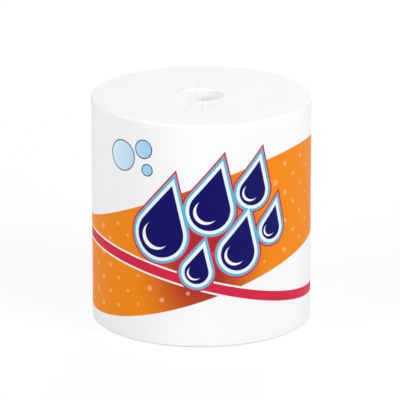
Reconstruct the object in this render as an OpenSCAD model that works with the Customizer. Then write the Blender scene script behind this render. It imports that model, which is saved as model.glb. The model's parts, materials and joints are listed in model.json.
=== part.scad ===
// Large kitchen paper towel roll in printed film, standing on its end.
// Origin at the middle of the base, +Z up along the roll, front towards -Y.
// An azimuth is counted from the front, and grows to the right.

/* [Paper] */
// Width of the sheets, which is the length of the wound roll
sheet_w = 200; // [170:1:300]
// Diameter of the wound paper
paper_d = 192.5; // [150:0.5:260]
// Number of turn lines that show on each end of the wound paper
turn_lines = 8; // [3:1:14]
// Width of a turn line at the end face
turn_line_w = 0.5; // [0.2:0.05:1]
// Depth of a turn line
turn_line_depth = 0.4; // [0.1:0.05:1]

/* [Core] */
// Inner diameter of the cardboard core
core_inner_d = 39; // [32:0.5:60]
// Wall of the cardboard core
core_wall = 2; // [0.8:0.1:3]
// Glue line between the core and the first turn of paper
glue_line = 0.1; // [0.05:0.05:0.5]

/* [Film] */
// Thickness that the film is drawn with
film_t = 0.4; // [0.2:0.05:0.8]
// Clearance between the film and the paper
film_fit = 0.1; // [0.05:0.05:0.5]
// Outer radius of the film's shoulders
shoulder_r = 3.2; // [2:0.1:8]
// How much softer the edges of the wound paper are than the film's shoulders
edge_ease = 1.2; // [0.5:0.1:4]
// Thickness of the gathered film inside the core
tuck_t = 0.6; // [0.4:0.05:1]
// Clearance between the tucked film and the core
tuck_fit = 0.1; // [0.05:0.05:0.5]
// Length of film pushed into the core at each end
tuck_len = 26; // [10:1:50]
// Radius of the lip where the film turns down into the core
lip_r = 1.2; // [0.6:0.1:1.4]

/* [Pleats] */
// Number of pleats gathered on each end
pleat_count = 24; // [12:1:30]
// Height of a pleat above the film under it
pleat_t = 0.4; // [0.2:0.05:0.8]
// Width of a pleat where it reaches the hole
pleat_w = 4.4; // [2:0.1:5]
// Width that a pleat has left at its outer end
pleat_tip_w = 0.6; // [0.2:0.1:2]
// Distance of the pleats' outer ends from the shoulder
pleat_inset = 2; // [0:0.5:20]
// Width of the ring round the hole where the pleats lie over each other
gather_w = 7; // [3:0.5:15]

/* [Lap seam] */
// Azimuth of the lap seam
seam_az = 108; // [95:1:120]
// Width of the film's overlap at the lap seam
seam_w = 12; // [5:0.5:20]
// Height of the overlapping edge above the wall
seam_t = 0.3; // [0.15:0.05:0.6]

/* [Print, swooshes] */
// Thickness that the print is drawn with
ink_t = 0.12; // [0.06:0.01:0.3]
// Bare gap kept round every printed shape
bare_gap = 1.6; // [0.5:0.1:4]
// Height of the broad swoosh's middle above the middle of the roll
swoosh_up = -12; // [-30:1:10]
// Mean width of the broad swoosh
swoosh_w = 84; // [40:1:100]
// Rise of the broad swoosh's upper edge
swoosh_top_rise = 40; // [0:1:45]
// Azimuth where the broad swoosh's upper edge is highest
swoosh_top_az = 66; // [0:1:180]
// Rise of the broad swoosh's lower edge
swoosh_foot_rise = 34; // [0:1:40]
// Azimuth where the broad swoosh's lower edge is highest
swoosh_foot_az = 98; // [0:1:180]
// Height of the slender swoosh's middle above the middle of the roll
ribbon_up = -46; // [-50:1:-20]
// Width of the slender swoosh
ribbon_w = 9; // [4:0.5:20]
// Rise of the slender swoosh
ribbon_rise = 26; // [0:1:28]
// Azimuth where the slender swoosh is highest
ribbon_az = -84; // [-180:1:180]

/* [Print, drops and bubbles] */
// Number of panels that repeat round the wall, opposite each other
panel_count = 2; // [1:1:2]
// Radius of the biggest navy drop
drop_r = 21; // [12:0.5:22]
// Half the angle at a drop's tip
drop_half_angle = 27; // [20:1:40]
// Lean of the drops to the right
drop_lean = 14; // [0:1:30]
// Height of the group of drops above the middle of the roll
drops_up = 8; // [-10:1:12]
// Bare halo between a drop and its pale rim
halo_w = 3; // [1:0.1:4]
// Width of the pale rim round the drops
rim_w = 2.2; // [1:0.1:4]
// Radius of the biggest pale bubble
bubble_r = 14; // [5:0.5:16]
// Distance of the bubbles' middle below the top
bubble_down = 32; // [26:1:40]
// Azimuth of the bubbles
bubble_az = 34; // [-40:1:40]
// Number of pale dots round the broad swoosh
dot_count = 26; // [8:1:40]
// Radius of the biggest pale dot
dot_r = 2.6; // [1:0.1:3]

/* [Hidden] */
$fn = 128;
film_colour = "#F6F8F9";
paper_colour = "#FFFFFF";
card_colour = "#B9A284";
orange = "#F08C22";
red = "#C4332B";
navy = "#1B1464";
cyan = "#6CC8EC";
pale_blue = "#BFE2F4";

paper_r = paper_d / 2;
wall_r = paper_r + film_fit + film_t;
end_t = film_t + pleat_t;
total_h = sheet_w + 2 * (film_fit + end_t);
middle_z = total_h / 2;
paper_z = end_t + film_fit;
core_r = core_inner_d / 2;
core_outer_r = core_r + core_wall;
winding_r = core_outer_r + glue_line;
tuck_r = core_r - tuck_fit;
bore_r = tuck_r - tuck_t;
gather_r = bore_r + gather_w;
paper_edge_r = shoulder_r - film_t + edge_ease;
pleat_end_r = wall_r - shoulder_r - pleat_inset;
// Depth that the pleats, the print and the seam sink into the film under them
bond = film_t / 2;
// Sides that a drop's round foot is drawn with
ROUND_STEPS = 14;
// Reach of a cutting shape past what it cuts
past = 5;
// Reach of a printed shape into the wall, for the wall's curve across its width
reach = 8;

// The drops of one panel: how far right and how far up of the panel's middle,
// both in radii of the biggest drop, and the drop's own size
DROPS = [
    [-1.75, -0.35, 1],
    [0.35, 0.75, 0.86],
    [2.2, 1.45, 0.6],
    [1.55, -1.15, 0.74],
    [-0.2, -1.9, 0.5],
    [3.1, -0.3, 0.46]
];

// The bubbles: how far right and up, both in radii of the biggest, and the size
BUBBLES = [
    [-1.3, -0.2, 1],
    [0.35, 0.45, 0.62],
    [0.6, -0.85, 0.4]
];

// A ring's section with its inner and outer corners rounded
module section(r0, r1, z0, z1, round_in, round_out) {
    h = z1 - z0;
    translate([r0 + round_in, z0]) square([r1 - round_out - r0 - round_in, h]);
    translate([r1 - 2 * round_out, z0 + round_out]) square([2 * round_out, h - 2 * round_out]);
    for (z = [z0 + round_out, z1 - round_out])
        translate([r1 - round_out, z]) circle(round_out);
    if (round_in > 0) {
        translate([r0, z0 + round_in]) square([2 * round_in, h - 2 * round_in]);
        for (z = [z0 + round_in, z1 - round_in])
            translate([r0 + round_in, z]) circle(round_in);
    }
}

// The film's section: wall, shoulders, ends, lips and tucks
module film_section() {
    difference() {
        union() {
            section(bore_r, wall_r, pleat_t, total_h - pleat_t, 0, shoulder_r);
            section(bore_r, gather_r, 0, total_h, lip_r, pleat_t);
        }
        translate([tuck_r, end_t]) square([gather_r - tuck_r, total_h - 2 * end_t]);
        section(tuck_r, wall_r - film_t, end_t, total_h - end_t, 0, shoulder_r - film_t);
        translate([bore_r - past, tuck_len])
            square([tuck_t + 2 * past, total_h - 2 * tuck_len]);
    }
}

// One pleat: a fold that lies to one side and widens towards the hole
module pleat() {
    linear_extrude(pleat_t + bond)
        polygon([
            [gather_r - lip_r, 0],
            [pleat_end_r, 0],
            [pleat_end_r, pleat_tip_w],
            [gather_r - lip_r, pleat_w]
        ]);
}

module pleats() {
    for (i = [0 : pleat_count - 1])
        rotate([0, 0, i * 360 / pleat_count]) pleat();
}

// A thin ring on the straight part of the wall
module wall_ring(t) {
    translate([0, 0, shoulder_r + pleat_t])
        difference() {
            cylinder(h = total_h - 2 * (shoulder_r + pleat_t), r = wall_r + t);
            translate([0, 0, -past])
                cylinder(h = total_h, r = wall_r - bond);
        }
}

// What lies at one azimuth and height of the wall, from a flat outline
module on_wall(az, z) {
    rotate([0, 0, az])
        translate([0, reach - wall_r, z])
            rotate([90, 0, 0])
                linear_extrude(reach + seam_t + bond) children();
}

// The upright strip where the film laps over itself
module seam_strip(w) {
    on_wall(seam_az, 0) translate([-w / 2, 0]) square([w, total_h]);
}

// Everything below a slanting plane, which cuts a wave into the wall
module below(z, rise, az) {
    w = 3 * wall_r;
    rotate([0, 0, az])
        translate([0, 0, z])
            rotate([-atan(rise / wall_r), 0, 0])
                translate([-w / 2, -w / 2, -w]) cube(w);
}

function broad_top(az) =
    middle_z + swoosh_up + swoosh_w / 2 + swoosh_top_rise * cos(az - swoosh_top_az);
function broad_foot(az) =
    middle_z + swoosh_up - swoosh_w / 2 + swoosh_foot_rise * cos(az - swoosh_foot_az);

module broad_swoosh() {
    difference() {
        below(middle_z + swoosh_up + swoosh_w / 2, swoosh_top_rise, swoosh_top_az);
        below(middle_z + swoosh_up - swoosh_w / 2, swoosh_foot_rise, swoosh_foot_az);
    }
}

module slender_swoosh(grow) {
    difference() {
        below(middle_z + ribbon_up + ribbon_w / 2 + grow, ribbon_rise, ribbon_az);
        below(middle_z + ribbon_up - ribbon_w / 2 - grow, ribbon_rise, ribbon_az);
    }
}

// The outline of a falling drop: a round foot and two straight sides up to a tip
module drop_outline(r) {
    from = -180 - drop_half_angle;
    step = (180 + 2 * drop_half_angle) / ROUND_STEPS;
    foot = [for (i = [0 : ROUND_STEPS]) r * [cos(from + i * step), sin(from + i * step)]];
    polygon(concat(foot, [[0, r / sin(drop_half_angle)]]));
}

// All drops of all panels, each grown by the same margin
module drops(grow) {
    for (panel = [0 : panel_count - 1])
        for (d = DROPS)
            on_wall(
                panel * 180 + d[0] * drop_r / wall_r * 180 / PI,
                middle_z + drops_up + d[1] * drop_r
            )
                rotate(-drop_lean) drop_outline(d[2] * drop_r + grow);
}

// A round spot, drawn with as many sides as a drop's foot would have all round
module rounded_spot(r) {
    polygon([for (i = [0 : 2 * ROUND_STEPS - 1]) r * [cos(i * 180 / ROUND_STEPS), sin(i * 180 / ROUND_STEPS)]]);
}

module bubbles() {
    for (panel = [0 : panel_count - 1])
        for (b = BUBBLES)
            on_wall(
                panel * 180 - bubble_az + b[0] * bubble_r / wall_r * 180 / PI,
                total_h - bubble_down + b[1] * bubble_r
            )
                rounded_spot(b[2] * bubble_r);
}

// Pale dots in two lanes along the broad swoosh, in three sizes
module dots() {
    for (i = [0 : dot_count - 1]) {
        az = i * 360 / dot_count;
        lane = i % 2 == 0 ? 0.24 : 0.76;
        on_wall(az, broad_foot(az) + lane * (broad_top(az) - broad_foot(az)))
            circle(dot_r * (1 - 0.2 * (i % 3)), $fn = 12);
    }
}

// A printed field: the part of the ink ring that lies in a shape
module ink() {
    intersection() {
        wall_ring(ink_t);
        children();
    }
}

module print() {
    color(orange) difference() {
        ink() broad_swoosh();
        slender_swoosh(bare_gap);
        drops(halo_w + rim_w + bare_gap);
        dots();
        seam_strip(seam_w + 2 * bare_gap);
    }
    color(red) difference() {
        ink() slender_swoosh(0);
        drops(halo_w + rim_w + bare_gap);
        seam_strip(seam_w + 2 * bare_gap);
    }
    color(cyan) difference() {
        ink() drops(halo_w + rim_w);
        drops(halo_w);
    }
    color(navy) ink() drops(0);
    color(pale_blue) ink() bubbles();
}

module film_wrap() {
    color(film_colour) {
        rotate_extrude() film_section();
        pleats();
        translate([0, 0, total_h]) mirror([0, 0, 1]) pleats();
        intersection() {
            wall_ring(seam_t);
            seam_strip(seam_w);
        }
    }
    print();
}

module paper_roll() {
    color(paper_colour)
        translate([0, 0, paper_z])
            rotate_extrude()
                difference() {
                    section(winding_r, paper_r, 0, sheet_w, 0, paper_edge_r);
                    for (i = [1 : turn_lines])
                        translate([
                            winding_r + i * (paper_r - paper_edge_r - winding_r) / (turn_lines + 1),
                            sheet_w / 2
                        ])
                            for (side = [0, 1])
                                mirror([0, side]) turn_line();
                }
}

// The section of a turn line, at the end of the roll above the middle
module turn_line() {
    translate([0, sheet_w / 2])
        polygon([
            [-turn_line_w / 2, 0],
            [0, -turn_line_depth],
            [turn_line_w / 2, 0],
            [turn_line_w / 2, past],
            [-turn_line_w / 2, past]
        ]);
}

module core_tube() {
    color(card_colour)
        translate([0, 0, paper_z])
            difference() {
                cylinder(h = sheet_w, r = core_outer_r);
                translate([0, 0, -past])
                    cylinder(h = sheet_w + 2 * past, r = core_r);
            }
}

film_wrap();
paper_roll();
core_tube();
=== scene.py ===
import json
import math
import bpy
import numpy as np
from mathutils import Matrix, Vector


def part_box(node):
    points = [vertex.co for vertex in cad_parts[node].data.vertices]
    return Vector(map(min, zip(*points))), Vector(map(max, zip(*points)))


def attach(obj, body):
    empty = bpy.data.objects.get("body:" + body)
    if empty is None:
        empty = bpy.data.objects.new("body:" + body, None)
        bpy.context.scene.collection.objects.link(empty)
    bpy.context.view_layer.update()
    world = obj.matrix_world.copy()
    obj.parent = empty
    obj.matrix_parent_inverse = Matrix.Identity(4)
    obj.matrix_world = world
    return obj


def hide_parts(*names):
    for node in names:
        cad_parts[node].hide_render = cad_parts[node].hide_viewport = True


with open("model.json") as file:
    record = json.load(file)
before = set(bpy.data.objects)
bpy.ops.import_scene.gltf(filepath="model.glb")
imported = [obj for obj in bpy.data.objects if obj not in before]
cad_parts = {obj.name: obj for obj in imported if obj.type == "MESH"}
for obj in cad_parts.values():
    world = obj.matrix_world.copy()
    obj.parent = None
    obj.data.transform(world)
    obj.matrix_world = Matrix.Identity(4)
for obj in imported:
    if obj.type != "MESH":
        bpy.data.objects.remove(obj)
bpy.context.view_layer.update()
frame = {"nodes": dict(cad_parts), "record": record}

mm = 0.001
bore = next(m for m in frame["record"]["mounts"] if m["kind"] == "bore")


# Helpers

def selectOnly(piece):
    if bpy.context.mode != "OBJECT":
        bpy.ops.object.mode_set(mode="OBJECT")
    bpy.ops.object.select_all(action="DESELECT")
    if piece:
        piece.select_set(True)
        bpy.context.view_layer.objects.active = piece


def linear(hexColour):
    parts = [int(hexColour[i:i + 2], 16) / 255 for i in (1, 3, 5)]
    return (*[c / 12.92 if c <= 0.04045 else ((c + 0.055) / 1.055) ** 2.4 for c in parts], 1.0)


def addNode(tree, kind, feeds=(), **settings):
    # feeds gives an input, by place or name, a value, a socket, or a node whose first output it takes
    node = tree.nodes.new("ShaderNode" + kind)
    for key, value in settings.items():
        setattr(node, key, value)
    for key, value in (feeds.items() if isinstance(feeds, dict) else enumerate(feeds)):
        if isinstance(value, bpy.types.Node):
            value = value.outputs[0]
        if isinstance(value, bpy.types.NodeSocket):
            tree.links.new(value, node.inputs[key])
        else:
            node.inputs[key].default_value = value
    return node


def newMaterial(name):
    material = bpy.data.materials.new(name)
    material.use_nodes = True
    material.node_tree.nodes.clear()
    return material


def smoothStep(low, high, value):
    t = np.clip((value - low) / (high - low), 0, 1)
    return t * t * (3 - 2 * t)


def wrapAngle(angle):
    return (angle + math.pi) % (2 * math.pi) - math.pi


# Film wrap: one web round the wall, gathered in pleats over both ends and tucked into the core

filmWrap = {
    "height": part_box("film_wrap")[1][2] / mm,
    "inkProud": 0.12,          # the solid's print stands this far off its wall
    "boreRadius": bore["dims"]["r_mm"],
    "thickness": 0.4,
    "shoulderRadius": 1.5,     # tighter than the solid's, as the photographed edge is crisp
    "lipRadius": 1.0,
    "tuckThickness": 0.6,
    "tuckLength": 26,
    "tuckRagged": 0.9,         # how far the tuck's free end strays
    "raggedLength": 9,
    "gatherWidth": 7,          # ring round the hole in which the pleats lie on each other
    "gatherFade": 5,
    "pleatCount": 24,
    "pleatHeight": 0.4,
    "pleatWidth": 4.4,
    "pleatTipWidth": 0.9,
    "pleatInset": 2,
    "pleatScatter": 1.1,       # degrees that a fold stands off its even place
    "pleatSway": 1.5,          # degrees that it bends on its way out
    "pleatShorter": 26,        # the shortest pleat ends this much sooner than the longest
    "pleatFade": 22,
    "fluteDepth": 0.34,        # the pleats run on down the core as flutes
    "fluteStart": 5,
    "creaseCount": 76,         # small creases that the gathering leaves round the hole
    "creaseDepth": 0.22,
    "creaseWidth": 1.5,
    "creaseReach": (28, 58),   # radii between which they end
    "creaseBend": 3,           # degrees
    "creaseDown": (4, 18),     # depths in the core between which they fade
    "rippleHeight": 0.07,      # ripples between the pleats
    "rippleStart": 4, "rippleFade": (25, 70),
    "slackRise": 0.12, "slackSag": 0.1,    # loose film between the hole and the shoulder
    "pullDepth": 0.12,         # gathers in the wall next to the shoulder
    "pullFade": (2, 16),
    "wallWave": 0.16,          # how far the wall wanders over the embossed paper
    "seamAzimuth": 108,
    "seamWidth": 12,
    "seamHeight": 0.22,
    "turns": 480,              # steps of the spin
}
filmWrap["wallRadius"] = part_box("film_wrap")[1][0] / mm - filmWrap["inkProud"]


def arcPoints(cx, cz, radius, start, end, steps):
    angles = np.radians(np.linspace(start, end, steps + 1))
    return [(cx + radius * math.cos(a), cz + radius * math.sin(a)) for a in angles]


def filmSection(w):
    # the upper half of the outer skin, from the tuck's free end to the middle of the wall,
    # with points close together where the film bends
    top = w["height"]
    low = top - w["pleatHeight"]
    lip = w["boreRadius"] + w["lipRadius"]
    rim = w["wallRadius"] - w["shoulderRadius"]
    gather = w["boreRadius"] + w["gatherWidth"]
    outer = [(w["boreRadius"], z) for z in np.linspace(top - w["tuckLength"], top - w["lipRadius"], 13)]
    outer += arcPoints(lip, top - w["lipRadius"], w["lipRadius"], 180, 90, 7)[1:]
    for t in np.linspace(0, 1, 47)[1:]:
        r = lip + (rim - lip) * t ** 1.15
        ring = 1 - float(smoothStep(gather, gather + w["gatherFade"], r))
        outer.append((r, low + w["pleatHeight"] * ring))
    outer += arcPoints(rim, low - w["shoulderRadius"], w["shoulderRadius"], 90, 0, 8)[1:]
    outer += [(w["wallRadius"], z) for z in np.linspace(low - w["shoulderRadius"], top / 2, 20)[1:]]
    outer += [(r, top - z) for r, z in reversed(outer[:-1])]
    # the inner skin lies flat against the paper, so it needs few points
    tuck = w["boreRadius"] + w["tuckThickness"]
    inside = w["wallRadius"] - w["thickness"]
    end = w["pleatHeight"] + w["thickness"]
    corner = w["shoulderRadius"] - w["thickness"]
    inner = [(tuck, top - w["tuckLength"]), (tuck, top - end)]
    inner += [(r, top - end) for r in np.linspace(tuck, inside - corner, 5)[1:]]
    inner += arcPoints(inside - corner, top - end - corner, corner, 90, 0, 4)[1:]
    inner += [(inside, top / 2)]
    inner += [(r, top - z) for r, z in reversed(inner[:-1])]
    return outer, inner[::-1]


def unrolledHeights(outer, w):
    # height up the unrolled web: z on the wall, and onwards past the shoulders over the ends
    path = [0.0]
    for a, b in zip(outer, outer[1:]):
        path.append(path[-1] + math.dist(a, b))
    return [w["height"] / 2 + path[-1] / 2 - p for p in path]


def spinSection(name, outer, inner, w):
    points = outer + inner
    selectOnly(None)
    bpy.ops.mesh.primitive_circle_add(vertices=len(points), radius=0.1)
    piece = bpy.context.object
    piece.name = name
    mesh = piece.data
    for vertex, (r, z) in zip(mesh.vertices, points):
        vertex.co = (0, -r * mm, z * mm)
    heights = mesh.attributes.new("webHeight", "FLOAT", "POINT")
    skin = mesh.attributes.new("innerSkin", "FLOAT", "POINT")
    heights.data.foreach_set("value", unrolledHeights(outer, w) + [0.0] * len(inner))
    skin.data.foreach_set("value", [0.0] * len(outer) + [1.0] * len(inner))
    bpy.ops.object.mode_set(mode="EDIT")
    bpy.ops.mesh.select_all(action="SELECT")
    bpy.ops.mesh.spin(steps=w["turns"], angle=2 * math.pi, center=(0, 0, 0), axis=(0, 0, 1))
    bpy.ops.mesh.select_all(action="SELECT")
    bpy.ops.mesh.remove_doubles(threshold=0.02 * mm)
    bpy.ops.mesh.normals_make_consistent(inside=False)
    bpy.ops.object.mode_set(mode="OBJECT")
    return piece


def pleatCover(theta, r, w):
    # 1 where a pleat lies on the film under it; each has one sharp fold and one soft side
    rng = np.random.default_rng(7)
    cover = np.zeros_like(theta)
    inner = w["boreRadius"] + w["gatherWidth"] - w["lipRadius"]
    outer = w["wallRadius"] - w["shoulderRadius"] - w["pleatInset"]
    share = np.clip((r - inner) / (outer - inner), 0, 1)
    width = w["pleatWidth"] + (w["pleatTipWidth"] - w["pleatWidth"]) * share
    step = 2 * math.pi * r / w["turns"]
    for i in range(w["pleatCount"]):
        fold = i * 2 * math.pi / w["pleatCount"]
        fold += math.radians(rng.uniform(-w["pleatScatter"], w["pleatScatter"]))
        sway = math.radians(rng.uniform(-w["pleatSway"], w["pleatSway"]))
        sway = sway * np.sin(share * math.pi * rng.uniform(0.7, 1.4))
        reach = outer - rng.uniform(0, w["pleatShorter"])
        across = r * wrapAngle(theta - fold - sway)
        # the fold is as steep as the steps of the spin can show
        sharp = smoothStep(-0.6 * step, 0.6 * step + 0.15, across)
        soft = 1 - smoothStep(0.6 * width, 1.1 * width + step, across)
        tip = 1 - smoothStep(reach - w["pleatFade"], reach, r)
        cover = np.maximum(cover, sharp * soft * tip)
    return cover


def creaseShare(theta, r, w):
    # 1 at the bottom of a crease; they are deepest at the hole, and each fades out at its own reach
    rng = np.random.default_rng(11)
    share = np.zeros_like(theta)
    lip = w["boreRadius"] + w["lipRadius"]
    radius = np.maximum(r, lip)
    for i in range(w["creaseCount"]):
        angle = (i + rng.uniform(-0.35, 0.35)) * 2 * math.pi / w["creaseCount"]
        reach = rng.uniform(*w["creaseReach"])
        bend = math.radians(rng.uniform(-w["creaseBend"], w["creaseBend"]))
        bend = bend * np.clip((radius - lip) / (reach - lip), 0, 1)
        width = w["creaseWidth"] * rng.uniform(0.7, 1.3)
        across = np.abs(radius * wrapAngle(theta - angle - bend))
        depth = rng.uniform(0.4, 1) * (1 - smoothStep(lip, reach, radius))
        share = np.maximum(share, depth * (1 - smoothStep(0, width / 2, across)))
    return share


def shapeFilm(piece, w):
    mesh = piece.data
    count = len(mesh.vertices)
    flat = np.empty(count * 3)
    mesh.vertices.foreach_get("co", flat)
    co = flat.reshape(-1, 3) / mm
    innerSkin = np.empty(count)
    mesh.attributes["innerSkin"].data.foreach_get("value", innerSkin)
    r = np.hypot(co[:, 0], co[:, 1])
    theta = np.arctan2(co[:, 1], co[:, 0])
    azimuth = np.arctan2(co[:, 0], -co[:, 1])
    z = co[:, 2]
    top = w["height"]
    outerSkin = innerSkin < 0.5
    depth = np.minimum(z, top - z)
    up = np.where(z > top / 2, 1.0, -1.0)
    lip = w["boreRadius"] + w["lipRadius"]
    rim = w["wallRadius"] - w["shoulderRadius"]
    gather = w["boreRadius"] + w["gatherWidth"]

    # pleats over the ends, with ripples that fade towards the rim, slack and creases
    onEnd = outerSkin & (r > lip - 0.01) & (r < rim + 0.01)
    ring = 1 - smoothStep(gather, gather + w["gatherFade"], r)
    cover = pleatCover(theta * up, r, w)
    lift = w["pleatHeight"] * (np.maximum(cover, ring) - ring)
    waves = ((31, 0.4, 0.03), (43, 2.1, -0.04), (57, 4.4, 0.05))    # count, phase and twist
    ripple = sum(np.cos(k * theta * up + phase + twist * r) for k, phase, twist in waves) / len(waves)
    near, far = smoothStep(lip, lip + w["rippleStart"], r), smoothStep(*w["rippleFade"], r)
    lift += w["rippleHeight"] * ripple * (1 - far) * near
    slack = np.sin(math.pi * np.clip((r - lip) / (rim - lip), 0, 1))
    slack *= np.cos(2 * theta + 0.7) + np.cos(3 * theta - 1.9) * 0.7
    lift += w["slackRise"] * slack - w["slackSag"] * np.abs(slack)
    crease = creaseShare(theta * up, r, w)
    lift -= w["creaseDepth"] * crease * smoothStep(lip - 0.01, lip + 1, r)
    newZ = np.where(onEnd, np.clip(z + up * lift, 0, top), z)

    # the pleats run on over the lip and down the core as shallow flutes
    inCore = outerSkin & (r < lip)
    flute = 0.5 + 0.5 * np.cos(w["pleatCount"] * theta + 0.35 * np.sin(5 * theta))
    fade = smoothStep(0, w["fluteStart"], depth)
    creased = crease * (1 - smoothStep(*w["creaseDown"], depth))
    push = np.where(inCore, w["fluteDepth"] * flute * fade + w["creaseDepth"] * creased, 0)
    ragged = np.cos(9 * theta * up + 0.8) + 0.6 * np.cos(23 * theta + 2.0)
    ragged *= w["tuckRagged"] * smoothStep(w["tuckLength"] - w["raggedLength"], w["tuckLength"], depth)
    newZ = np.where(r < lip, newZ - up * ragged, newZ)

    # the wall wanders a little over the soft paper, is gathered next to the shoulders,
    # and lies double along the lap seam
    onWall = outerSkin & (r > rim)
    wander = np.cos(3 * azimuth + 0.5 + 0.02 * z) + np.cos(5 * azimuth - 0.035 * z)
    wander += 0.6 * np.cos(0.075 * z + 2 * np.sin(azimuth * 2)) + 0.4 * np.cos(11 * azimuth + 0.05 * z)
    wander /= 3
    pull = np.cos(w["pleatCount"] * theta * up) + 0.6 * np.cos(37 * theta + 1.1)
    pull = w["pullDepth"] * pull * (1 - smoothStep(*w["pullFade"], depth))
    seam = np.abs(wrapAngle(azimuth - math.radians(w["seamAzimuth"]))) * w["wallRadius"]
    lap = w["seamHeight"] * (1 - smoothStep(w["seamWidth"] / 2 - 1.3, w["seamWidth"] / 2, seam))
    push = np.where(onWall, (w["wallWave"] * wander + pull) * smoothStep(0, 8, depth) + lap, push)

    scale = (r + push) / r
    co = np.stack([co[:, 0] * scale, co[:, 1] * scale, newZ], 1)
    mesh.vertices.foreach_set("co", (co * mm).ravel())
    mesh.update()


def layOutFilm(piece, w):
    # web: millimetres round and up the unrolled film, for the print; OFBake: a flat layout of it
    mesh = piece.data
    loops = len(mesh.loops)
    vertexOf = np.empty(loops, dtype=np.int32)
    mesh.loops.foreach_get("vertex_index", vertexOf)
    flat = np.empty(len(mesh.vertices) * 3)
    mesh.vertices.foreach_get("co", flat)
    co = flat.reshape(-1, 3) / mm
    height = np.empty(len(mesh.vertices))
    mesh.attributes["webHeight"].data.foreach_get("value", height)
    innerSkin = np.empty(len(mesh.vertices))
    mesh.attributes["innerSkin"].data.foreach_get("value", innerSkin)
    starts = np.empty(len(mesh.polygons), dtype=np.int32)
    sides = np.empty(len(mesh.polygons), dtype=np.int32)
    mesh.polygons.foreach_get("loop_start", starts)
    mesh.polygons.foreach_get("loop_total", sides)
    faceOf = np.repeat(np.arange(len(starts)), sides)

    corner = co[vertexOf]
    middle = np.add.reduceat(corner, starts) / sides[:, None]
    middleAz = np.arctan2(middle[:, 0], -middle[:, 1])[faceOf]
    middleR = np.hypot(middle[:, 0], middle[:, 1])[faceOf]
    middleZ = middle[:, 2][faceOf]
    inside = (np.add.reduceat(innerSkin[vertexOf], starts) / sides)[faceOf] > 0.1
    azimuth = middleAz + wrapAngle(np.arctan2(corner[:, 0], -corner[:, 1]) - middleAz)
    cornerHeight = np.where(inside, -1000, height[vertexOf])
    web = np.stack([azimuth * w["wallRadius"], cornerHeight], 1)

    # sheets of the layout, in millimetres: two half walls, two ends, two tucks, and the
    # hidden skin, squeezed into the room that is left
    rim = w["wallRadius"] - w["shoulderRadius"]
    lip = w["boreRadius"] + w["lipRadius"]
    halfWall = math.pi * w["wallRadius"]
    margin = 3
    sheetSide = halfWall + 2 * rim + 4 * margin
    endsFrom, endGap = halfWall + 8, 4
    tucksFrom, tuckPitch = (4, 2 * w["height"] + 18), 36
    hiddenFrom, hiddenRadius, hiddenScale = (140, 2 * w["height"] + 20), 20, 0.2
    back = np.abs(middleAz) > math.pi / 2
    turned = azimuth - np.where(back, np.sign(middleAz) * math.pi, 0)
    u = (turned + math.pi / 2) * w["wallRadius"] + margin
    v = height[vertexOf] + margin + np.where(back, w["height"] + 2 * margin, 0)
    atTop = middleZ > w["height"] / 2
    onEnd = (middleR < rim) & ~inside
    u = np.where(onEnd, endsFrom + rim + corner[:, 0], u)
    v = np.where(onEnd, margin + rim + corner[:, 1] + np.where(atTop, 2 * rim + endGap, 0), v)
    inTuck = (middleR < lip) & ~inside
    fromEnd = np.where(atTop, w["height"] - corner[:, 2], corner[:, 2])
    u = np.where(inTuck, (azimuth + math.pi) * w["boreRadius"] + tucksFrom[0], u)
    v = np.where(inTuck, tucksFrom[1] + fromEnd + np.where(atTop, tuckPitch, 0), v)
    u = np.where(inside, (azimuth + math.pi) * hiddenRadius + hiddenFrom[0], u)
    v = np.where(inside, (corner[:, 2] + middleR) * hiddenScale + hiddenFrom[1], v)
    sheet = np.stack([u, v], 1) / sheetSide
    for name, values in (("web", web), ("OFBake", sheet)):
        layer = mesh.uv_layers.new(name=name)
        layer.data.foreach_set("uv", values.ravel())
    mesh.uv_layers.active = mesh.uv_layers["web"]


print("film wrap: section and spin")
outerPoints, innerPoints = filmSection(filmWrap)
film = spinSection("filmWrapPleated", outerPoints, innerPoints, filmWrap)
print("film wrap: pleats, lips and lap seam")
shapeFilm(film, filmWrap)
layOutFilm(film, filmWrap)
selectOnly(film)
bpy.ops.object.shade_smooth_by_angle(angle=math.radians(50))
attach(film, "root")
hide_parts("film_wrap")


# Print and surface of the film: fields of colour and simple shapes, in millimetres of the unrolled web

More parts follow.
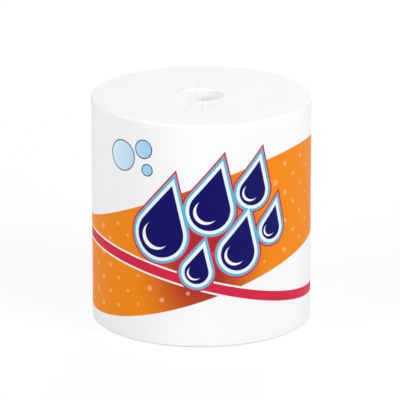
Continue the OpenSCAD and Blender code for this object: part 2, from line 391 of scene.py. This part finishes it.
wrapPrint = {
    "gap": 1.6,                # bare film round the slender swoosh, and width of the fine outer line
    "halo": 3.0,               # icy white between a drop and its blue rim
    "rim": 2.2,                # blue rim round the drops
    "blur": 0.15,              # softness of an ink edge
    "broadMiddle": 88.9, "broadWidth": 84,
    "broadTopRise": 40, "broadTopAzimuth": 66,
    "broadFootRise": 34, "broadFootAzimuth": 98,
    "slenderMiddle": 54.9, "slenderWidth": 9,
    "slenderRise": 26, "slenderAzimuth": -84,
    "dropRadius": 21, "dropHalfAngle": 27, "dropLean": 14, "dropsUp": 108.9,
    "drops": ((-1.75, -0.35, 1), (0.35, 0.75, 0.86), (2.2, 1.45, 0.6),     # across, up and size
              (1.55, -1.15, 0.74), (-0.2, -1.9, 0.5), (3.1, -0.3, 0.46)),
    "shineRadius": 0.6, "shineAt": (-0.2, -0.08), "shineCut": (0.14, 0.12),    # in radii of the drop
    "bubbleRadius": 14, "bubbleUp": 169.8, "bubbleAzimuth": -34, "bubbleLine": 0.9,
    "bubbles": ((-1.3, -0.2, 1), (0.35, 0.45, 0.62), (0.6, -0.85, 0.4)),
    "bubbleTint": (-2.2, 1.2),     # where their blue starts and ends, in radii of the largest
    "dotColumns": 52,          # columns of pale dots round the roll
    "dotRadius": 2.6, "dotSizes": 6, "dotShrink": 0.1, "dotCover": 0.38,
    "dotRows": 0.26, "dotLane": 0.24, "dotEdge": 0.45,     # shares of the broad swoosh's width
    "glowUp": 84, "glowNear": 14, "glowReach": 68, "glowTall": 1.6,    # the orange deepens at the drops
    "film": "#F5F6F7", "orange": "#EF8812", "ember": "#A42A26", "cream": "#FFD596",
    "crimson": "#D02646", "navy": "#0C065E", "cyan": "#54B3D2",
    "iceBlue": "#E6F2FA", "paleBlue": "#DDF0F9", "skyBlue": "#8FCDEB",
    "creasePitch": 9,          # creases too fine to model
    "embossPitch": 4.5,        # dimples of the paper under the film
    "embossShare": 0.35,
    "weldPitch": 2.4,          # spacing of the ribs that the sealing bar presses in
    "weldReach": (2.6, 3.4), "weldShare": 0.7,
    "reliefDepth": 0.35, "reliefStrength": 0.22,
    "roughness": (0.44, 0.56), "roughNoise": (0.3, 0.7),    # where the noise is low and where it is high
}


def inkEdge(tree, distance, p):
    # 1 inside a shape and 0 outside it, from the signed distance to its edge
    slope = -0.5 / p["blur"]
    return addNode(tree, "Math", [distance, slope, 0.5], operation="MULTIPLY_ADD", use_clamp=True)


def waveHeight(tree, angle, middle, rise, azimuth):
    turn = addNode(tree, "Math", [angle, math.radians(azimuth)], operation="SUBTRACT")
    wave = addNode(tree, "Math", [turn], operation="COSINE")
    return addNode(tree, "Math", [wave, rise, middle], operation="MULTIPLY_ADD")


def broadEdges(tree, angle, p):
    # heights of the broad swoosh's top and foot
    half = p["broadWidth"] / 2
    top = waveHeight(tree, angle, p["broadMiddle"] + half, p["broadTopRise"], p["broadTopAzimuth"])
    foot = waveHeight(tree, angle, p["broadMiddle"] - half, p["broadFootRise"], p["broadFootAzimuth"])
    return top, foot


def dropDistance(tree, sheet, drop, p):
    # a round foot and two straight sides up to a tip, leaning to the right
    x, z, radius = [v * p["dropRadius"] for v in drop]
    half = math.radians(p["dropHalfAngle"])
    own = addNode(tree, "Mapping", {
        "Vector": sheet,
        "Location": (x, p["dropsUp"] + z, 0),
        "Rotation": (0, 0, -math.radians(p["dropLean"])),
    }, vector_type="TEXTURE")
    split = addNode(tree, "SeparateXYZ", [own])
    aside = addNode(tree, "Math", [split.outputs[0]], operation="ABSOLUTE")
    folded = addNode(tree, "CombineXYZ", [aside, split.outputs[1], 0.0])
    away = addNode(tree, "VectorMath", [own], operation="LENGTH").outputs["Value"]
    outwards = (math.cos(half), math.sin(half), 0)
    along = (-math.sin(half), math.cos(half), 0)
    toSide = addNode(tree, "VectorMath", [folded, outwards], operation="DOT_PRODUCT").outputs["Value"]
    rise = addNode(tree, "VectorMath", [folded, along], operation="DOT_PRODUCT").outputs["Value"]
    above = addNode(tree, "Math", [rise, 0.0], operation="GREATER_THAN")
    both = addNode(tree, "Mix", {0: above, 2: away, 3: toSide}, data_type="FLOAT")
    return addNode(tree, "Math", [both, radius], operation="SUBTRACT")


def spotDistance(tree, sheet, x, z, radius):
    away = addNode(tree, "VectorMath", [sheet, (x, z, 0)], operation="DISTANCE").outputs["Value"]
    return addNode(tree, "Math", [away, radius], operation="SUBTRACT")


def printedDots(tree, across, up, w, p):
    # cover of the pale dots, in rows and columns that follow the broad swoosh
    columns = p["dotColumns"]
    pitch = 2 * math.pi * w["wallRadius"] / columns
    cell = addNode(tree, "Math", [across, pitch], operation="DIVIDE")
    cell = addNode(tree, "Math", [cell], operation="ROUND")
    columnAngle = addNode(tree, "Math", [cell, 2 * math.pi / columns], operation="MULTIPLY")
    top, foot = broadEdges(tree, columnAngle, p)
    span = addNode(tree, "Math", [top, foot], operation="SUBTRACT")
    odd = addNode(tree, "Math", [cell, 2.0], operation="FLOORED_MODULO")
    lane = addNode(tree, "Math", [odd, p["dotRows"] / 2, p["dotLane"]], operation="MULTIPLY_ADD")
    row = addNode(tree, "Math", [up, foot], operation="SUBTRACT")
    row = addNode(tree, "Math", [row, span], operation="DIVIDE")
    row = addNode(tree, "Math", [row, lane], operation="SUBTRACT")
    row = addNode(tree, "Math", [row, p["dotRows"]], operation="DIVIDE")
    row = addNode(tree, "Math", [row], operation="ROUND")
    row = addNode(tree, "Math", [row, p["dotRows"], lane], operation="MULTIPLY_ADD")
    dotUp = addNode(tree, "Math", [row, span, foot], operation="MULTIPLY_ADD")
    place = addNode(tree, "Math", [cell, columns], operation="FLOORED_MODULO")
    place = addNode(tree, "Math", [place, p["dotSizes"]], operation="FLOORED_MODULO")
    shrink = -p["dotShrink"] * p["dotRadius"]
    radius = addNode(tree, "Math", [place, shrink, p["dotRadius"]], operation="MULTIPLY_ADD")
    offAcross = addNode(tree, "Math", [cell, -pitch, across], operation="MULTIPLY_ADD")
    offUp = addNode(tree, "Math", [up, dotUp], operation="SUBTRACT")
    off = addNode(tree, "CombineXYZ", [offAcross, offUp, 0.0])
    away = addNode(tree, "VectorMath", [off], operation="LENGTH").outputs["Value"]
    dots = inkEdge(tree, addNode(tree, "Math", [away, radius], operation="SUBTRACT"), p)
    # a dot that the swoosh's edge or the seam's bare strip would cut is left out
    offMiddle = addNode(tree, "Math", [row, 0.5], operation="SUBTRACT")
    offMiddle = addNode(tree, "Math", [offMiddle], operation="ABSOLUTE")
    onSwoosh = addNode(tree, "Math", [offMiddle, p["dotEdge"]], operation="LESS_THAN")
    seamArc = math.radians(w["seamAzimuth"]) * w["wallRadius"]
    fromSeam = addNode(tree, "Math", [cell, pitch, -seamArc], operation="MULTIPLY_ADD")
    fromSeam = addNode(tree, "Math", [fromSeam], operation="ABSOLUTE")
    nearest = w["seamWidth"] / 2 + p["gap"] + p["dotRadius"]
    offSeam = addNode(tree, "Math", [fromSeam, nearest], operation="GREATER_THAN")
    whole = addNode(tree, "Math", [onSwoosh, offSeam], operation="MULTIPLY")
    whole = addNode(tree, "Math", [whole, p["dotCover"]], operation="MULTIPLY")
    return addNode(tree, "Math", [dots, whole], operation="MULTIPLY")


def printedColour(tree, across, up, w, p):
    angle = addNode(tree, "Math", [across, w["wallRadius"]], operation="DIVIDE")
    halfPanel = math.pi * w["wallRadius"] / 2
    panel = addNode(tree, "Math", [across, halfPanel, -halfPanel], operation="WRAP")
    sheet = addNode(tree, "CombineXYZ", [panel, up, 0.0]).outputs[0]

    # the bare strip along the lap seam
    seamArc = math.radians(w["seamAzimuth"]) * w["wallRadius"]
    fromSeam = addNode(tree, "Math", [across, seamArc], operation="SUBTRACT")
    fromSeam = addNode(tree, "Math", [fromSeam], operation="ABSOLUTE")
    offSeam = addNode(tree, "Math", [w["seamWidth"] / 2 + p["gap"], fromSeam], operation="SUBTRACT")
    offSeam = inkEdge(tree, offSeam, p)

    # broad swoosh between two waves, with the slender one laid over it
    top, foot = broadEdges(tree, angle, p)
    overTop = addNode(tree, "Math", [up, top], operation="SUBTRACT")
    underFoot = addNode(tree, "Math", [foot, up], operation="SUBTRACT")
    broad = addNode(tree, "Math", [overTop, underFoot], operation="MAXIMUM")
    slenderUp = waveHeight(tree, angle, p["slenderMiddle"], p["slenderRise"], p["slenderAzimuth"])
    slender = addNode(tree, "Math", [up, slenderUp], operation="SUBTRACT")
    slender = addNode(tree, "Math", [slender], operation="ABSOLUTE")
    slender = addNode(tree, "Math", [slender, p["slenderWidth"] / 2], operation="SUBTRACT")
    offSlender = addNode(tree, "Math", [p["gap"], slender], operation="SUBTRACT")
    broadCover = addNode(tree, "Math", [inkEdge(tree, broad, p), offSeam], operation="MULTIPLY")
    broadCover = addNode(tree, "Math", [broadCover, inkEdge(tree, offSlender, p)], operation="MULTIPLY")
    slenderCover = addNode(tree, "Math", [inkEdge(tree, slender, p), offSeam], operation="MULTIPLY")
    glow = addNode(tree, "Mapping", {
        "Vector": sheet, "Location": (0, p["glowUp"], 0), "Scale": (1, p["glowTall"], 1),
    }, vector_type="TEXTURE")
    glow = addNode(tree, "VectorMath", [glow], operation="LENGTH").outputs["Value"]
    glow = addNode(tree, "MapRange", {0: glow, 1: p["glowNear"], 2: p["glowReach"], 3: 1.0, 4: 0.0},
                   interpolation_type="SMOOTHSTEP")
    orange, ember, cream = linear(p["orange"]), linear(p["ember"]), linear(p["cream"])
    orange = addNode(tree, "Mix", {0: glow, 6: orange, 7: ember}, data_type="RGBA").outputs[2]
    dots = printedDots(tree, across, up, w, p)
    orange = addNode(tree, "Mix", {0: dots, 6: orange, 7: cream}, data_type="RGBA").outputs[2]

    # drops, each with a crescent of bare film, and bubbles: the same at the front and the back
    drops = shine = bubbles = None
    for drop in p["drops"]:
        one = dropDistance(tree, sheet, drop, p)
        drops = addNode(tree, "Math", [drops, one], operation="MINIMUM") if drops else one
        x, z, radius = [v * p["dropRadius"] for v in drop]
        x += p["shineAt"][0] * radius
        z += p["shineAt"][1] * radius + p["dropsUp"]
        aside, above = [v * radius for v in p["shineCut"]]
        outer = spotDistance(tree, sheet, x, z, p["shineRadius"] * radius)
        inner = spotDistance(tree, sheet, x + aside, z + above, p["shineRadius"] * radius)
        beyond = addNode(tree, "Math", [inner, -1.0], operation="MULTIPLY")
        one = addNode(tree, "Math", [outer, beyond], operation="MAXIMUM")
        shine = addNode(tree, "Math", [shine, one], operation="MINIMUM") if shine else one
    bubblesAcross = math.radians(p["bubbleAzimuth"]) * w["wallRadius"]
    for bubble in p["bubbles"]:
        x, z, radius = [v * p["bubbleRadius"] for v in bubble]
        one = spotDistance(tree, sheet, bubblesAcross + x, p["bubbleUp"] + z, radius)
        bubbles = addNode(tree, "Math", [bubbles, one], operation="MINIMUM") if bubbles else one
    start, end = [bubblesAcross + share * p["bubbleRadius"] for share in p["bubbleTint"]]
    tint = addNode(tree, "MapRange", {0: panel, 1: start, 2: end, 3: 0.0, 4: 1.0})
    paleBlue, skyBlue = linear(p["paleBlue"]), linear(p["skyBlue"])
    blue = addNode(tree, "Mix", {0: tint, 6: paleBlue, 7: skyBlue}, data_type="RGBA").outputs[2]
    inBubble = addNode(tree, "Math", [bubbles, p["bubbleLine"]], operation="ADD")

    # inks, one over the other
    layers = [
        (broadCover, orange),
        (slenderCover, linear(p["crimson"])),
        (inkEdge(tree, bubbles, p), linear(p["navy"])),
        (inkEdge(tree, inBubble, p), blue),
    ]
    rimEdge = p["halo"] + p["rim"]
    rings = ((rimEdge + p["gap"], "crimson"), (rimEdge, "cyan"), (p["halo"], "iceBlue"), (0.0, "navy"))
    for grow, ink in rings:
        grown = addNode(tree, "Math", [drops, grow], operation="SUBTRACT")
        layers.append((inkEdge(tree, grown, p), linear(p[ink])))
    layers.append((inkEdge(tree, shine, p), linear(p["film"])))
    colour = linear(p["film"])
    for cover, ink in layers:
        colour = addNode(tree, "Mix", {0: cover, 6: colour, 7: ink}, data_type="RGBA").outputs[2]
    return colour, fromSeam


def printedFilm(w, p):
    # white polyethylene film, blown and flexo printed: an even satin sheen, on the ink as well
    material = newMaterial("printedPolyethyleneFilm")
    tree = material.node_tree
    web = addNode(tree, "UVMap", uv_map="web").outputs[0]
    split = addNode(tree, "SeparateXYZ", [web])
    across, up = split.outputs[0], split.outputs[1]
    colour, fromSeam = printedColour(tree, across, up, w, p)

    # creases too fine to model, the paper's embossing that shows faintly through, and the weld's ribs
    place = addNode(tree, "TexCoord").outputs["Object"]
    crease = addNode(tree, "TexNoise", {
        "Vector": place, "Scale": 1 / (p["creasePitch"] * mm),
        "Detail": 4.0, "Roughness": 0.62, "Distortion": 0.6,
    })
    emboss = addNode(tree, "TexVoronoi", {
        "Vector": web, "Scale": 1 / p["embossPitch"],
    }, feature="SMOOTH_F1").outputs["Distance"]
    relief = addNode(tree, "Math", [emboss, p["embossShare"], crease], operation="MULTIPLY_ADD")
    near, far = p["weldReach"]
    onWeld = addNode(tree, "MapRange", {0: fromSeam, 1: near, 2: far, 3: p["weldShare"], 4: 0.0})
    ribs = addNode(tree, "Math", [up, 2 * math.pi / p["weldPitch"]], operation="MULTIPLY")
    ribs = addNode(tree, "Math", [ribs], operation="SINE")
    relief = addNode(tree, "Math", [ribs, onWeld, relief], operation="MULTIPLY_ADD")
    bump = addNode(tree, "Bump", {
        "Strength": p["reliefStrength"], "Distance": p["reliefDepth"] * mm, "Height": relief,
    })
    smooth, dull = p["roughness"]
    low, high = p["roughNoise"]
    rough = addNode(tree, "MapRange", {0: crease, 1: low, 2: high, 3: smooth, 4: dull})
    shader = addNode(tree, "BsdfPrincipled", {
        "Base Color": colour, "Roughness": rough, "Normal": bump,
        "IOR": 1.51, "Specular IOR Level": 0.13,
    })
    addNode(tree, "OutputMaterial", {"Surface": shader})
    return material


print("print and film material")
film.data.materials.append(printedFilm(filmWrap, wrapPrint))


# Card core and wound paper, which keep their own solids

coreTube = {
    "board": "#C6B299", "fleck": "#A8917A", "seam": "#6E5A46",
    "plyPitch": 68,            # height that one turn of the spiral ply climbs
    "seamWidth": 0.5, "seamShadow": 0.35,
    "fibrePitch": 1.6, "fibreShare": 0.3,
    "reliefDepth": 0.2, "reliefStrength": 0.5, "roughness": 0.88,
}
paperRoll = {
    "paper": "#FAFAF7", "shade": "#F1F0EC",
    "turnPitch": 1.1,          # true turns lie 0.125 mm apart, too fine to show, so these are coarser
    "dimplePitch": 4.5, "fibrePitch": 0.8,
    "turnShare": 0.12, "dimpleShare": 0.8, "fibreShare": 0.25,
    "reliefDepth": 0.3, "reliefStrength": 0.5, "roughness": 0.95,
}


def coreCard(c):
    # unbleached recycled board, spiral wound: matt grey brown with a ply seam that climbs round it
    material = newMaterial("spiralWoundCard")
    tree = material.node_tree
    place = addNode(tree, "TexCoord").outputs["Object"]
    split = addNode(tree, "SeparateXYZ", [place])
    turn = addNode(tree, "Math", [split.outputs[0], split.outputs[1]], operation="ARCTAN2")
    pitch = c["plyPitch"] * mm
    perRadian = pitch / (2 * math.pi)
    climb = addNode(tree, "Math", [turn, perRadian, split.outputs[2]], operation="MULTIPLY_ADD")
    climb = addNode(tree, "Math", [climb, pitch / 2], operation="PINGPONG")
    flush = addNode(tree, "MapRange", {0: climb, 1: 0.0, 2: c["seamWidth"] * mm, 3: 0.0, 4: 1.0})
    fibre = addNode(tree, "TexNoise", {
        "Vector": place, "Scale": 1 / (c["fibrePitch"] * mm), "Detail": 5.0, "Roughness": 0.7,
    })
    fleck, board, seam = linear(c["fleck"]), linear(c["board"]), linear(c["seam"])
    colour = addNode(tree, "Mix", {0: fibre, 6: fleck, 7: board}, data_type="RGBA").outputs[2]
    dark = c["seamShadow"]
    shadow = addNode(tree, "Math", [flush, -dark, dark], operation="MULTIPLY_ADD")
    colour = addNode(tree, "Mix", {0: shadow, 6: colour, 7: seam}, data_type="RGBA").outputs[2]
    height = addNode(tree, "Math", [fibre, c["fibreShare"], flush], operation="MULTIPLY_ADD")
    bump = addNode(tree, "Bump", {
        "Strength": c["reliefStrength"], "Distance": c["reliefDepth"] * mm, "Height": height,
    })
    shader = addNode(tree, "BsdfPrincipled", {
        "Base Color": colour, "Roughness": c["roughness"], "Normal": bump, "IOR": 1.45,
    })
    addNode(tree, "OutputMaterial", {"Surface": shader})
    return material


def towelPaper(c):
    # soft embossed tissue of virgin pulp: matt white, a dimple every few millimetres, turns on its ends
    material = newMaterial("embossedTowelPaper")
    tree = material.node_tree
    place = addNode(tree, "TexCoord").outputs["Object"]
    flat = addNode(tree, "VectorMath", [place, (1, 1, 0)], operation="MULTIPLY")
    away = addNode(tree, "VectorMath", [flat], operation="LENGTH").outputs["Value"]
    turns = addNode(tree, "Math", [away, 2 * math.pi / (c["turnPitch"] * mm)], operation="MULTIPLY")
    turns = addNode(tree, "Math", [turns], operation="SINE")
    dimples = addNode(tree, "TexVoronoi", {
        "Vector": place, "Scale": 1 / (c["dimplePitch"] * mm),
    }, feature="SMOOTH_F1").outputs["Distance"]
    fibre = addNode(tree, "TexNoise", {
        "Vector": place, "Scale": 1 / (c["fibrePitch"] * mm), "Detail": 4.0,
    })
    height = addNode(tree, "Math", [turns, c["turnShare"]], operation="MULTIPLY")
    height = addNode(tree, "Math", [dimples, c["dimpleShare"], height], operation="MULTIPLY_ADD")
    height = addNode(tree, "Math", [fibre, c["fibreShare"], height], operation="MULTIPLY_ADD")
    bump = addNode(tree, "Bump", {
        "Strength": c["reliefStrength"], "Distance": c["reliefDepth"] * mm, "Height": height,
    })
    shade, paper = linear(c["shade"]), linear(c["paper"])
    tone = addNode(tree, "Mix", {0: fibre, 6: shade, 7: paper}, data_type="RGBA").outputs[2]
    shader = addNode(tree, "BsdfPrincipled", {
        "Base Color": tone, "Roughness": c["roughness"], "Normal": bump, "IOR": 1.4,
    })
    addNode(tree, "OutputMaterial", {"Surface": shader})
    return material


print("core and paper")
for node, material in (("core_tube", coreCard(coreTube)), ("paper_roll", towelPaper(paperRoll))):
    frame["nodes"][node].data.materials.clear()
    frame["nodes"][node].data.materials.append(material)


# Studio: white ground, soft key light from the right, fill from the left, a low lamp behind

studio = {
    "keyWatts": 192, "keySide": 2.4, "keyFrom": (3.015, -2.535, 2.56),
    "fillWatts": 156, "fillSide": 2.7, "fillFrom": (-3.6, -2.085, 2.22),
    "backWatts": 58, "backSide": 1.2, "backFrom": (0.5, 2.96, 0.8),
    "ambient": 0.13,
    "shadowShare": 0.15,       # how much of its own shading the floor keeps under the white
    "bounceColour": "#B8B8B8",  # what the floor throws back on the roll
}


def addArea(name, watts, side, start, target, sheen=True):
    lampData = bpy.data.lights.new(name, "AREA")
    lampData.energy = watts
    lampData.size = side
    lamp = bpy.data.objects.new(name, lampData)
    bpy.context.scene.collection.objects.link(lamp)
    lamp.location = start
    lamp.visible_camera = False
    lamp.visible_glossy = sheen
    aim = [t - s for s, t in zip(start, target)]
    tilt = math.atan2(math.hypot(aim[0], aim[1]), -aim[2])
    lamp.rotation_euler = (tilt, 0, math.atan2(aim[1], aim[0]) - math.pi / 2)
    return lamp


def seenAsGround(tree):
    # 1 for rays from the camera, also by way of a gloss or through something clear
    path = addNode(tree, "LightPath")
    direct, gloss = path.outputs["Is Camera Ray"], path.outputs["Is Glossy Ray"]
    seen = addNode(tree, "Math", [direct, gloss], operation="MAXIMUM")
    return addNode(tree, "Math", [seen, path.outputs["Is Transmission Ray"]], operation="MAXIMUM")


def studioWorld(s):
    world = bpy.data.worlds.new("whiteStudio")
    bpy.context.scene.world = world
    world.use_nodes = True
    tree = world.node_tree
    tree.nodes.clear()
    ambient = addNode(tree, "Background", {"Color": linear("#FFFFFF"), "Strength": s["ambient"]})
    white = addNode(tree, "Background", {"Color": linear("#FFFFFF"), "Strength": 1.0})
    mix = addNode(tree, "MixShader", [seenAsGround(tree), ambient, white])
    addNode(tree, "OutputWorld", {"Surface": mix})


def studioFloor(s):
    material = newMaterial("palePaperSweep")
    tree = material.node_tree
    camera = addNode(tree, "LightPath").outputs["Is Camera Ray"]
    bounce, white = linear(s["bounceColour"]), linear("#FFFFFF")
    paper = addNode(tree, "Mix", {0: camera, 6: bounce, 7: white}, data_type="RGBA").outputs[2]
    lit = addNode(tree, "BsdfDiffuse", {"Color": paper})
    glare = addNode(tree, "Emission", {"Color": white, "Strength": 1.0})
    seen = addNode(tree, "Math", [seenAsGround(tree), 1 - s["shadowShare"]], operation="MULTIPLY")
    mix = addNode(tree, "MixShader", [seen, lit, glare])
    addNode(tree, "OutputMaterial", {"Surface": mix})
    selectOnly(None)
    bpy.ops.mesh.primitive_plane_add(size=30)
    floor = bpy.context.object
    floor.name = "studioFloor"
    floor.data.materials.append(material)


print("studio")
middle = (0, 0, filmWrap["height"] * mm / 2)
addArea("keyLight", studio["keyWatts"], studio["keySide"], studio["keyFrom"], middle)
addArea("backLight", studio["backWatts"], studio["backSide"], studio["backFrom"], middle, sheen=False)
addArea("fillLight", studio["fillWatts"], studio["fillSide"], studio["fillFrom"], middle, sheen=False)
studioWorld(studio)
studioFloor(studio)
bpy.context.scene.view_settings.view_transform = "Standard"


# Camera: a long lens, looking down at the roll as the photograph does

lens = {
    "distance": 38.0,          # along the floor, in radii of the roll
    "height": 12.803,          # above the base, in radii
    "pitchDown": 17.138,       # degrees
    "focalPixels": 4348.4,
    "picturePixels": 400,      # width of the picture
    "sensorWidth": 36,         # millimetres
    "rollRightOfMiddle": 1.4,  # pixels between the picture's middle and the roll's axis
}


def addCamera(c, radius):
    cameraData = bpy.data.cameras.new("photoCamera")
    cameraData.sensor_width = c["sensorWidth"]
    cameraData.lens = c["focalPixels"] / c["picturePixels"] * c["sensorWidth"]
    cameraData.clip_end = 100
    camera = bpy.data.objects.new("photoCamera", cameraData)
    bpy.context.scene.collection.objects.link(camera)
    sideways = -c["rollRightOfMiddle"] * c["distance"] / c["focalPixels"]
    camera.location = [v * radius for v in (sideways, -c["distance"], c["height"])]
    camera.rotation_euler = (math.radians(90 - c["pitchDown"]), 0, 0)
    bpy.context.scene.camera = camera


print("camera")
addCamera(lens, filmWrap["wallRadius"] * mm)
